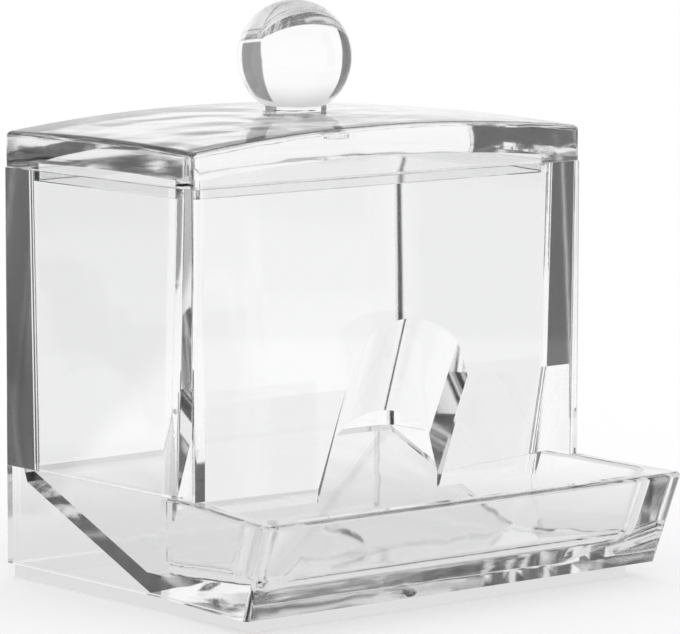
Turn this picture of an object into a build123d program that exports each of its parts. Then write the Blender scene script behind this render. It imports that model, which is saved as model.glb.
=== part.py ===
from build123d import *
import math
import os

# Clear cotton swab holder: a box bonded on a base with a sloped floor and an open front tray, and a
# lift-off lid with a ball knob. Millimetres, +X right, +Y to the rear, +Z up, standing on z = 0.

# Overall sizes of the box
box_width = 86.0
box_depth = 53.3
box_top = 71.8
outer_corner_radius = 0.6

# Walls of the box, thicker at the foot than at the top as a moulding's are
side_wall_top = 2.7
side_wall_foot = 3.1
front_wall_top = 5.6
front_wall_foot = 8.0
rear_wall_top = 4.3
rear_wall_foot = 5.3
inner_corner_radius = 2.8

# Lower part of the front wall, which leans back between two cheeks and ends in a thin lip
bend_height = 36.0
set_back_angle = 20.2
cheek_thickness = 2.3
lip_bottom = 15.6
lip_side_gap = 0.3

# Finger notch, cut down and inwards through the front wall
notch_centre_x = 3.3
notch_top = 47.0
notch_arc_radius = 16.0
notch_shoulder_height = 42.2
notch_half_width = 13.65
notch_slope_angle = 23.8

# Base and its open tray
seam_height = 19.8
glue_line = 0.05
tray_reach = 23.4
rim_front_height = 19.1
rim_front_half_width = 46.4
flare_start = 9.0
tray_front_lean = 6.25
front_corner_radius = 0.8
tray_wall = 2.9
tray_floor_height = 6.0
tray_floor_angle = 4.5
tray_corner_radius = 6.0
tray_floor_fillet = 3.6
rim_fillet = 0.7

# Sloped floor, whose rear end carries the box's rear wall, and the hollow under it, open behind
floor_angle = 22.6
floor_thickness = 3.0
floor_bond_width = 2.0
floor_end_slant = 1.1
base_side_wall = 3.0

# Shallow round dimple under the sloped floor, where the plastic entered the mould
gate_x = 4.6
gate_setback = 20.3
gate_dimple_diameter = 7.0
gate_dimple_depth = 0.7

# Foot ring that the base stands on
foot_height = 2.6
foot_wall = 2.0
foot_corner_radius = 0.8
foot_side_inset = 1.2
foot_rear_inset = 0.3
foot_front_inset = 2.95

# Lid
lid_gap = 0.1
lid_corner_height = 6.0
lid_rise_across = 2.55
lid_rise_to_rear = 0.65
lid_thickness = 6.0
lid_corner_radius = 1.2
lid_edge_fillet = 1.0
ring_height = 2.1
ring_wall = 2.0
ring_clearance = 0.35

# Ball knob, with a spigot that is cemented into the lid
knob_diameter = 20.0
knob_centre_height = 90.4
collar_diameter = 11.2
spigot_diameter = 5.0
spigot_length = 4.0
spigot_gap = 0.05

# Places worked out from the sizes above, about the middle of the footprint before the rim is rounded
front_y = -(box_depth - tray_reach) / 2
rear_y = front_y + box_depth
rim_y = front_y - tray_reach
middle_y = (front_y + rear_y) / 2
half_width = box_width / 2
set_back_slope = math.tan(math.radians(set_back_angle))
floor_slope = math.tan(math.radians(floor_angle))
floor_top_y = rear_y - rear_wall_foot
floor_foot_y = floor_top_y - (seam_height - tray_floor_height) / floor_slope
flare_y = front_y + flare_start
flare_slope = (rim_front_half_width - half_width) / (flare_y - rim_y)
lid_underside = box_top + lid_gap
lid_crown = lid_underside + lid_corner_height + lid_rise_to_rear + lid_rise_across


def side_profile(points, x_half):
    """A solid with the given outline in Y and Z, reaching the same way to both sides."""
    outline = make_face(Polyline([(0, y, z) for y, z in points], close=True))
    return extrude(outline, amount=x_half, dir=(1, 0, 0), both=True)


def rounded_rectangle(x_half, y_low, y_high, z, radius):
    """A flat rounded rectangle, centred across the width."""
    return Pos(0, (y_low + y_high) / 2, z) * RectangleRounded(2 * x_half, y_high - y_low, radius)


def arc_radius(half_span, rise):
    """Radius of the arc that rises this much over half its span."""
    return (half_span**2 + rise**2) / (2 * rise)


def box_inside_outline(z):
    """The inside of the four walls at a height: it narrows downwards."""
    share = (box_top - z) / (box_top - lip_bottom)
    side = side_wall_top + share * (side_wall_foot - side_wall_top)
    front = front_wall_top + share * (front_wall_foot - front_wall_top)
    rear = rear_wall_top + share * (rear_wall_foot - rear_wall_top)
    return rounded_rectangle(half_width - side, front_y + front, rear_y - rear, z, inner_corner_radius)


def base_block():
    """The base's outside: straight behind, flared and leaning at the tray's front."""
    block = side_profile(
        [
            (rear_y, foot_height),
            (rear_y, seam_height),
            (front_y, seam_height),
            (rim_y, rim_front_height),
            (rim_y + tray_front_lean, foot_height),
        ],
        rim_front_half_width,
    )
    plan = Polyline(
        [
            (-half_width, rear_y),
            (-half_width, flare_y),
            (-rim_front_half_width, rim_y),
            (rim_front_half_width, rim_y),
            (half_width, flare_y),
            (half_width, rear_y),
        ],
        close=True,
    )
    block &= extrude(make_face(plan), amount=seam_height)
    upright = block.edges().filter_by(lambda edge: abs(edge.tangent_at(0.5).Z) > 0.9)
    front_edges = upright.filter_by(lambda edge: edge.center().Y < front_y)
    block = fillet(front_edges, front_corner_radius)
    rear_edges = block.edges().filter_by(Axis.Z).filter_by(lambda edge: edge.center().Y > middle_y)
    return fillet(rear_edges, outer_corner_radius)


def tray_outline(front, z):
    """The tray's inside at a height, from its front back to where the sides stop flaring."""
    back_half = half_width - tray_wall
    front_half = back_half + (flare_y - front) * flare_slope
    corners = [(-back_half, flare_y), (-front_half, front), (front_half, front), (back_half, flare_y)]
    outline = make_face(Polyline(corners, close=True))
    front_corners = outline.vertices().filter_by(lambda corner: corner.Y < front_y)
    return Pos(0, 0, z) * fillet(front_corners, tray_corner_radius)


def tray_space():
    """The room in the open tray, whose floor rises a little to the front and has a rounded edge."""
    lean_per_height = tray_front_lean / (rim_front_height - foot_height)
    floor_front = rim_y + tray_wall + lean_per_height * (rim_front_height - tray_floor_height)
    top_front = floor_front - lean_per_height * (seam_height - tray_floor_height)
    space = loft(
        [tray_outline(floor_front, tray_floor_height), tray_outline(top_front, seam_height)], ruled=True
    )
    floor_rise = (flare_y - rim_y) * math.tan(math.radians(tray_floor_angle))
    space -= side_profile(
        [
            (flare_y, tray_floor_height),
            (rim_y, tray_floor_height + floor_rise),
            (rim_y, tray_floor_height - 1),
            (flare_y, tray_floor_height - 1),
        ],
        2 * half_width,
    )
    floor_edges = space.faces().sort_by(Axis.Z)[0].edges()
    rounded = floor_edges.filter_by(lambda edge: edge.center().Y < flare_y - 1)
    return fillet(rounded, tray_floor_fillet)


def chute_space():
    """The room over the sloped floor, down to the level floor of the tray."""
    front = front_y + front_wall_foot
    return side_profile(
        [
            (floor_top_y, seam_height),
            (floor_foot_y, tray_floor_height),
            (front, tray_floor_height),
            (front, seam_height),
        ],
        half_width - side_wall_foot,
    )


def underside_space():
    """The hollow under the sloped floor, open below and behind."""
    roof_height = seam_height - floor_thickness
    front = floor_top_y - (roof_height - foot_height) / floor_slope
    end_top = floor_top_y + floor_bond_width
    end_foot = end_top - floor_end_slant
    return side_profile(
        [
            (front, 0),
            (front, foot_height),
            (end_foot, roof_height + (end_foot - floor_top_y) * floor_slope),
            (end_top, seam_height),
            (rear_y, seam_height),
            (rear_y, 0),
        ],
        half_width - base_side_wall,
    )


def gate_dimple():
    """The ball that sinks the gate's dimple into the sloped floor from below."""
    radius = arc_radius(gate_dimple_diameter / 2, gate_dimple_depth)
    gate_y = front_y + gate_setback
    gate_z = seam_height - floor_thickness - (floor_top_y - gate_y) * floor_slope
    angle = math.radians(floor_angle)
    below = Vector(0, math.sin(angle), -math.cos(angle))
    centre = Vector(gate_x, gate_y, gate_z) + below * (radius - gate_dimple_depth)
    return Pos(*centre) * Sphere(radius)


def foot_ring():
    """The low wall that the base stands on."""
    x_half = half_width - foot_side_inset
    front = rim_y + tray_front_lean + foot_front_inset
    rear = rear_y - foot_rear_inset
    outside = rounded_rectangle(x_half, front, rear, 0, foot_corner_radius)
    inside = rounded_rectangle(
        x_half - foot_wall, front + foot_wall, rear - foot_wall, 0, foot_corner_radius
    )
    return extrude(outside - inside, amount=foot_height)


def base_tray():
    """The lower moulding: tray, sloped floor, low side walls and foot ring."""
    tray = base_block() - tray_space()
    rim_face = tray.faces().filter_by(lambda face: face.center().Y < front_y).sort_by(Axis.Z)[-1]
    rim_edges = rim_face.edges().filter_by(lambda edge: edge.center().Y < front_y - rim_fillet)
    tray = fillet(rim_edges, rim_fillet)
    return tray - chute_space() - underside_space() - gate_dimple() + foot_ring()


def front_lip():
    """The block that carries the front wall down below the seam, between the base's sides."""
    height = seam_height + glue_line - lip_bottom
    block = Box(
        2 * (half_width - side_wall_foot - lip_side_gap),
        front_wall_foot,
        height,
        align=(Align.CENTER, Align.MIN, Align.MIN),
    )
    return Pos(0, front_y, lip_bottom) * block


def set_back_space():
    """The room in front of the leaning part of the front wall, between the cheeks."""
    foot_y = front_y + (bend_height - lip_bottom) * set_back_slope
    return side_profile(
        [(front_y, bend_height), (foot_y, lip_bottom), (rim_y, lip_bottom), (rim_y, bend_height)],
        half_width - cheek_thickness,
    )


def notch_space():
    """The arched finger notch, which slopes down and inwards."""
    rise = notch_shoulder_height - (notch_top - notch_arc_radius)
    shoulder = math.sqrt(notch_arc_radius**2 - rise**2)
    left_sill = (-notch_half_width, 0)
    left_bend = (-notch_half_width, bend_height)
    left_shoulder = (-shoulder, notch_shoulder_height)
    right_shoulder = (shoulder, notch_shoulder_height)
    right_bend = (notch_half_width, bend_height)
    right_sill = (notch_half_width, 0)
    outline = (
        Polyline(left_sill, left_bend, left_shoulder)
        + ThreePointArc(left_shoulder, (0, notch_top), right_shoulder)
        + Polyline(right_shoulder, right_bend, right_sill, left_sill)
    )
    face = Plane((notch_centre_x, front_y, 0), x_dir=(1, 0, 0), z_dir=(0, -1, 0)) * make_face(outline)
    down = math.radians(notch_slope_angle)
    way_in = Vector(0, math.sin(down), -math.cos(down))
    through = (front_wall_foot + 1) / math.sin(down)
    return extrude(Pos(*(-way_in)) * face, amount=through, dir=way_in)


def swab_box():
    """The four walls, open above and below, with the leaning front and the notch."""
    foot = seam_height + glue_line
    outline = rounded_rectangle(half_width, front_y, rear_y, foot, outer_corner_radius)
    walls = extrude(outline, amount=box_top - foot) + front_lip()
    inside = loft([box_inside_outline(lip_bottom - 1), box_inside_outline(box_top + 1)], ruled=True)
    return walls - inside - set_back_space() - notch_space()


def crowned_block(crown):
    """A barrel, lying from front to rear, whose top is the lid's crown at the given height."""
    radius = arc_radius(half_width, lid_rise_across)
    axis_height = crown - radius
    end_height = crown - lid_rise_to_rear
    outline = ThreePointArc((0, front_y, end_height), (0, middle_y, crown), (0, rear_y, end_height))
    outline += Polyline((0, rear_y, end_height), (0, rear_y, axis_height))
    outline += Polyline((0, rear_y, axis_height), (0, front_y, axis_height))
    outline += Polyline((0, front_y, axis_height), (0, front_y, end_height))
    return revolve(make_face(outline), Axis((0, 0, axis_height), (0, 1, 0)), 360)


def lid():
    """A thick crowned slab, hollowed to an even thickness inside its locating ring, with a blind hole
    for the knob."""
    outline = rounded_rectangle(half_width, front_y, rear_y, lid_underside, lid_corner_radius)
    slab = extrude(outline, amount=lid_crown - lid_underside) & crowned_block(lid_crown)
    slab = fillet(slab.faces().sort_by(Axis.Z)[-1].edges(), lid_edge_fillet)

    x_half = half_width - side_wall_top - ring_clearance
    front = front_y + front_wall_top + ring_clearance
    rear = rear_y - rear_wall_top - ring_clearance
    radius = inner_corner_radius - ring_clearance
    ring_foot = lid_underside - ring_height
    ring = extrude(rounded_rectangle(x_half, front, rear, ring_foot, radius), amount=ring_height)
    inside_ring = rounded_rectangle(
        x_half - ring_wall, front + ring_wall, rear - ring_wall, ring_foot, radius - ring_wall
    )
    hollow = extrude(inside_ring, amount=lid_crown - ring_foot) & crowned_block(lid_crown - lid_thickness)
    depth = spigot_length + spigot_gap
    socket = Pos(0, middle_y, lid_crown) * Cylinder(spigot_diameter / 2 + spigot_gap, 2 * depth)
    return slab + ring - hollow - socket


def lid_knob():
    """The ball, its short collar and the spigot."""
    seat = lid_crown + spigot_gap
    ball = Pos(0, middle_y, knob_centre_height) * Sphere(knob_diameter / 2)
    above_seat = Pos(0, middle_y, seat) * Cylinder(
        knob_diameter, 2 * knob_diameter, align=(Align.CENTER, Align.CENTER, Align.MIN)
    )
    collar = Pos(0, middle_y, seat) * Cylinder(
        collar_diameter / 2, knob_centre_height - seat, align=(Align.CENTER, Align.CENTER, Align.MIN)
    )
    spigot = Pos(0, middle_y, seat) * Cylinder(
        spigot_diameter / 2, spigot_length, align=(Align.CENTER, Align.CENTER, Align.MAX)
    )
    return (ball & above_seat) + collar + spigot


# The origin is under the middle of the finished footprint, from the rounded rim to the rear
base = base_tray()
centred = Pos(0, -base.bounding_box().center().Y, 0)

os.makedirs("parts", exist_ok=True)
export_step(centred * base, "parts/base_tray.step")
export_step(centred * swab_box(), "parts/swab_box.step")
export_step(centred * lid(), "parts/lid.step")
export_step(centred * lid_knob(), "parts/lid_knob.step")
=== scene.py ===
"""Looks of the clear cotton swab holder: clear acrylic on a white ground. Metres."""

from math import cos, radians, sin

import bpy
from mathutils import Matrix, Vector

# Camera, worked out from the holder's corners in the photo. Metres, radians and pixels of the photo
PHOTO_WIDTH = 680
CAMERA_PLACE = (-0.5373, -0.6509, 0.1526)
CAMERA_YAW = 0.6908
CAMERA_PITCH = 0.1256
CAMERA_ROLL = 0.0016
FOCAL_PIXELS = 4921.0
SENSOR_WIDTH = 36.0
NEAREST_SEEN = 0.01
FARTHEST_SEEN = 50.0

# Acrylic, and the waves that its flow in the mould left in the faces
ACRYLIC_COLOUR = (0.978, 0.98, 0.98, 1.0)
ACRYLIC_IOR = 1.49
FLOW_SCALE = 45.0
FLOW_DETAIL = 1.0
FLOW_SWIRL = 1.2
FLOW_DEPTH = 0.0004

# How wavy and how rough each moulding is
BOX_FINISH = (0.02, 0.04)
BASE_FINISH = (0.35, 0.055)
LID_FINISH = (0.6, 0.065)

# White ground and even light. The shadow share is how much of the holder's shadow the ground keeps
FLOOR_SIZE = 4.0
WHITE = (1.0, 1.0, 1.0, 1.0)
SHADOW_SHARE = 0.5
LIGHT_LEVEL = 1.0

# Dark flags that only the clear faces show. Each has the directions where it starts and ends, from
# +Y towards +X, its distance on the floor, and how light it is. Its sides and top are soft over the
# edge's angle, and its foot up to the foot edge times its distance
FLAG_EDGE = radians(1.5)
FLAG_FOOT_EDGE = 1.1
FLAG_TOP = radians(38)
DARKEST = 0.08
FLAGS = [
    (radians(-44), radians(-5), 0.12, 0.12),
    (radians(63), radians(94), 0.33, 0.3),
    (radians(130), radians(150), 0.33, 0.12),
]

# Ceiling that dims with height, and a painted shadow on the ground close to the holder
CEILING_FROM = radians(12)
CEILING_TO = radians(50)
CEILING_LEVEL = 0.6
NEAR_FROM = 0.06
NEAR_TO = 0.16
NEAR_PAINTED_SHADOW_LEVEL = 0.75

# Painted shade for light that was guided along a wall, told by how many faces it met. The
# directions in which the floor and the surroundings are painted darker for it are given as a flag
# that has no foot
DIRECT_UP_TO = 8.0
NOT_DIRECT_FROM = 9.0
GUIDED_FROM = 8.5
GUIDED_TO = 11.5
GUIDED_PAINTED_SHADE_LEVEL = 0.1
GUIDED_PAINTED_SHADE_FLOOR = (radians(40), radians(180), 0.0, GUIDED_PAINTED_SHADE_LEVEL)
GUIDED_PAINTED_SHADE_SIDE = (radians(20), radians(155), 0.0, GUIDED_PAINTED_SHADE_LEVEL)

# How many times light may pass into, through and off the clear faces
CLEAR_BOUNCES = 32
GLOSSY_BOUNCES = 16


def acrylic(name, finish):
    """Clear polished plastic whose faces have the faint waviness and roughness of a moulding."""
    flow_strength, roughness = finish
    material = bpy.data.materials.new(name)
    material.use_nodes = True
    nodes = material.node_tree.nodes
    links = material.node_tree.links
    shader = nodes["Principled BSDF"]
    shader.inputs["Base Color"].default_value = ACRYLIC_COLOUR
    shader.inputs["Transmission Weight"].default_value = 1.0
    shader.inputs["IOR"].default_value = ACRYLIC_IOR
    shader.inputs["Roughness"].default_value = roughness

    place = nodes.new("ShaderNodeTexCoord")
    flow = nodes.new("ShaderNodeTexNoise")
    flow.inputs["Scale"].default_value = FLOW_SCALE
    flow.inputs["Detail"].default_value = FLOW_DETAIL
    flow.inputs["Distortion"].default_value = FLOW_SWIRL
    bump = nodes.new("ShaderNodeBump")
    bump.inputs["Strength"].default_value = flow_strength
    bump.inputs["Distance"].default_value = FLOW_DEPTH
    links.new(place.outputs["Object"], flow.inputs["Vector"])
    links.new(flow.outputs["Fac"], bump.inputs["Height"])
    links.new(bump.outputs["Normal"], shader.inputs["Normal"])
    return material


def joined(nodes, links, operation, first, second):
    """A Math node on two values, each a socket or a number."""
    node = nodes.new("ShaderNodeMath")
    node.operation = operation
    for socket, value in zip(node.inputs, (first, second)):
        if isinstance(value, (int, float)):
            socket.default_value = value
        else:
            links.new(value, socket)
    return node.outputs[0]


def ramp(nodes, links, value, start, end, at_start, at_end):
    """Goes smoothly from one level to another between two values."""
    node = nodes.new("ShaderNodeMapRange")
    node.interpolation_type = "SMOOTHSTEP"
    limits = {"From Min": start, "From Max": end, "To Min": at_start, "To Max": at_end}
    for name, number in limits.items():
        node.inputs[name].default_value = number
    links.new(value, node.inputs["Value"])
    return node.outputs["Result"]


def flag_level(nodes, links, level, flag, distance, cover):
    """The flag's level within its range of directions and beyond its foot, and 1 elsewhere."""
    start, end, foot, dark = flag
    middle, half = (start + end) / 2, (end - start) / 2
    towards = nodes.new("ShaderNodeVectorMath")
    towards.operation = "DOT_PRODUCT"
    towards.inputs[1].default_value = (sin(middle), cos(middle), 0.0)
    links.new(level, towards.inputs[0])
    outside, inside = cos(half + FLAG_EDGE), cos(half - FLAG_EDGE)
    beside = ramp(nodes, links, towards.outputs["Value"], outside, inside, 0.0, 1.0)
    beyond = 1.0
    if distance:
        beyond = ramp(nodes, links, distance, foot, FLAG_FOOT_EDGE * foot, 0.0, 1.0)
    hidden = joined(nodes, links, "MULTIPLY", beside, beyond)
    hidden = joined(nodes, links, "MULTIPLY", hidden, cover)
    return ramp(nodes, links, hidden, 0.0, 1.0, 1.0, dark)


def level_direction(nodes, links, direction):
    """The direction's part along the ground, as a unit vector."""
    level = nodes.new("ShaderNodeVectorMath")
    level.operation = "MULTIPLY"
    level.inputs[1].default_value = (1.0, 1.0, 0.0)
    links.new(direction, level.inputs[0])
    unit = nodes.new("ShaderNodeVectorMath")
    unit.operation = "NORMALIZE"
    links.new(level.outputs["Vector"], unit.inputs[0])
    return unit.outputs["Vector"]


def faces_met(nodes, links, start, end, at_start, at_end):
    """Goes from one level to another with the number of faces that the light met."""
    path = nodes.new("ShaderNodeLightPath").outputs
    return ramp(nodes, links, path["Ray Depth"], start, end, at_start, at_end)


def past_flags(nodes, links, light, level, distance, cover):
    """The light that is left by the dark flags that stand beside the holder."""
    for flag in FLAGS:
        shade = flag_level(nodes, links, level, flag, distance, cover)
        light = joined(nodes, links, "MULTIPLY", light, shade)
    return joined(nodes, links, "MAXIMUM", light, DARKEST)


def through_clear(nodes, links):
    """1 for rays that leave a glossy or a clear face."""
    path = nodes.new("ShaderNodeLightPath").outputs
    return joined(nodes, links, "MAXIMUM", path["Is Glossy Ray"], path["Is Transmission Ray"])


def ground():
    """A wide white floor that keeps the holder's shadow. The clear faces show it with the flags'
    feet, with a painted shadow close by, and painted darker for light that was guided along a wall."""
    bpy.ops.mesh.primitive_plane_add(size=FLOOR_SIZE)
    floor = bpy.context.object
    floor.name = "floor"
    material = bpy.data.materials.new("floor_white")
    material.use_nodes = True
    nodes = material.node_tree.nodes
    links = material.node_tree.links
    matt = nodes["Principled BSDF"]
    matt.inputs["Base Color"].default_value = WHITE
    matt.inputs["Roughness"].default_value = 1.0
    matt.inputs["Specular IOR Level"].default_value = 0.0

    place = nodes.new("ShaderNodeTexCoord").outputs["Object"]
    distance = nodes.new("ShaderNodeVectorMath")
    distance.operation = "LENGTH"
    links.new(place, distance.inputs[0])
    away = distance.outputs["Value"]
    level = level_direction(nodes, links, place)
    # Painted shade: the floor that the clear faces show is darker for light that met many faces
    guided = faces_met(nodes, links, GUIDED_FROM, GUIDED_TO, 0.0, 1.0)
    light = flag_level(nodes, links, level, GUIDED_PAINTED_SHADE_FLOOR, None, guided)
    # Painted shadow: the floor that the clear faces show is darker close to the holder
    painted_near_shadow = ramp(nodes, links, away, NEAR_FROM, NEAR_TO, NEAR_PAINTED_SHADOW_LEVEL, 1.0)
    light = joined(nodes, links, "MULTIPLY", light, painted_near_shadow)
    light = past_flags(nodes, links, light, level, away, 1.0)
    seen = nodes.new("ShaderNodeEmission")
    links.new(light, seen.inputs["Strength"])

    softened = nodes.new("ShaderNodeMixShader")
    softened.inputs["Fac"].default_value = SHADOW_SHARE
    links.new(nodes.new("ShaderNodeEmission").outputs["Emission"], softened.inputs[1])
    links.new(matt.outputs["BSDF"], softened.inputs[2])

    mix = nodes.new("ShaderNodeMixShader")
    links.new(through_clear(nodes, links), mix.inputs["Fac"])
    links.new(softened.outputs["Shader"], mix.inputs[1])
    links.new(seen.outputs["Emission"], mix.inputs[2])
    links.new(mix.outputs["Shader"], nodes["Material Output"].inputs["Surface"])
    floor.data.materials.append(material)


def surroundings():
    """An even white light, and the room that the clear faces show, painted darker for light that
    was guided along a wall.
    """
    world = bpy.data.worlds.new("surroundings")
    bpy.context.scene.world = world
    world.use_nodes = True
    nodes = world.node_tree.nodes
    links = world.node_tree.links
    even = nodes["Background"]
    even.inputs["Color"].default_value = WHITE
    even.inputs["Strength"].default_value = LIGHT_LEVEL

    direction = nodes.new("ShaderNodeTexCoord").outputs["Generated"]
    parts = nodes.new("ShaderNodeSeparateXYZ")
    links.new(direction, parts.inputs[0])
    height = parts.outputs["Z"]
    level = level_direction(nodes, links, direction)
    below_top = ramp(nodes, links, height, sin(FLAG_TOP), sin(FLAG_TOP + FLAG_EDGE), 1.0, 0.0)
    ceiling = ramp(nodes, links, height, sin(CEILING_FROM), sin(CEILING_TO), 1.0, CEILING_LEVEL)
    direct = faces_met(nodes, links, DIRECT_UP_TO, NOT_DIRECT_FROM, 1.0, 0.0)
    cover = joined(nodes, links, "MULTIPLY", below_top, direct)
    light = past_flags(nodes, links, ceiling, level, None, cover)
    # Painted shade: the surroundings that the clear faces show are darker for light that met many
    # faces
    guided = faces_met(nodes, links, DIRECT_UP_TO, NOT_DIRECT_FROM, 0.0, 1.0)
    guided_painted_shade = flag_level(nodes, links, level, GUIDED_PAINTED_SHADE_SIDE, None, guided)
    light = joined(nodes, links, "MULTIPLY", light, guided_painted_shade)
    seen = nodes.new("ShaderNodeBackground")
    seen.inputs["Color"].default_value = WHITE
    links.new(light, seen.inputs["Strength"])

    mix = nodes.new("ShaderNodeMixShader")
    links.new(through_clear(nodes, links), mix.inputs["Fac"])
    links.new(even.outputs["Background"], mix.inputs[1])
    links.new(seen.outputs["Background"], mix.inputs[2])
    links.new(mix.outputs["Shader"], nodes["World Output"].inputs["Surface"])


def camera():
    """The photo's camera: place, direction and focal length."""
    data = bpy.data.cameras.new("camera")
    data.sensor_width = SENSOR_WIDTH
    data.lens = SENSOR_WIDTH * FOCAL_PIXELS / PHOTO_WIDTH
    data.clip_start = NEAREST_SEEN
    data.clip_end = FARTHEST_SEEN
    placed = bpy.data.objects.new("camera", data)
    bpy.context.scene.collection.objects.link(placed)
    level = Vector((sin(CAMERA_YAW), cos(CAMERA_YAW), 0.0))
    forward = level * cos(CAMERA_PITCH) - Vector((0.0, 0.0, sin(CAMERA_PITCH)))
    right = Vector((cos(CAMERA_YAW), -sin(CAMERA_YAW), 0.0))
    up = right.cross(forward)
    turned_right = right * cos(CAMERA_ROLL) + up * sin(CAMERA_ROLL)
    turned_up = up * cos(CAMERA_ROLL) - right * sin(CAMERA_ROLL)
    axes = Matrix((turned_right, turned_up, -forward)).transposed()
    placed.matrix_world = Matrix.Translation(CAMERA_PLACE) @ axes.to_4x4()
    bpy.context.scene.camera = placed


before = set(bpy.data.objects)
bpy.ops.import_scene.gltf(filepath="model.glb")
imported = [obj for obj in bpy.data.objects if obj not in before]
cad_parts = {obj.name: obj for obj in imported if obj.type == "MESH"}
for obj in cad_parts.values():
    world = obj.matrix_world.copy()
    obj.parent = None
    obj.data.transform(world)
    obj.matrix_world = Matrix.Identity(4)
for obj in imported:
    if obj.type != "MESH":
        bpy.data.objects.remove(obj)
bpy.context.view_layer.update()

box_look = acrylic("clear_acrylic_box", BOX_FINISH)
base_look = acrylic("clear_acrylic_base", BASE_FINISH)
lid_look = acrylic("clear_acrylic_lid", LID_FINISH)
looks = {"base_tray": base_look, "swab_box": box_look, "lid": lid_look, "lid_knob": box_look}
for name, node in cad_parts.items():
    node.data.materials.clear()
    node.data.materials.append(looks[name])

ground()
surroundings()
camera()

scene = bpy.context.scene
scene.view_settings.view_transform = "Standard"
scene.cycles.max_bounces = CLEAR_BOUNCES
scene.cycles.transmission_bounces = CLEAR_BOUNCES
scene.cycles.transparent_max_bounces = CLEAR_BOUNCES
scene.cycles.glossy_bounces = GLOSSY_BOUNCES
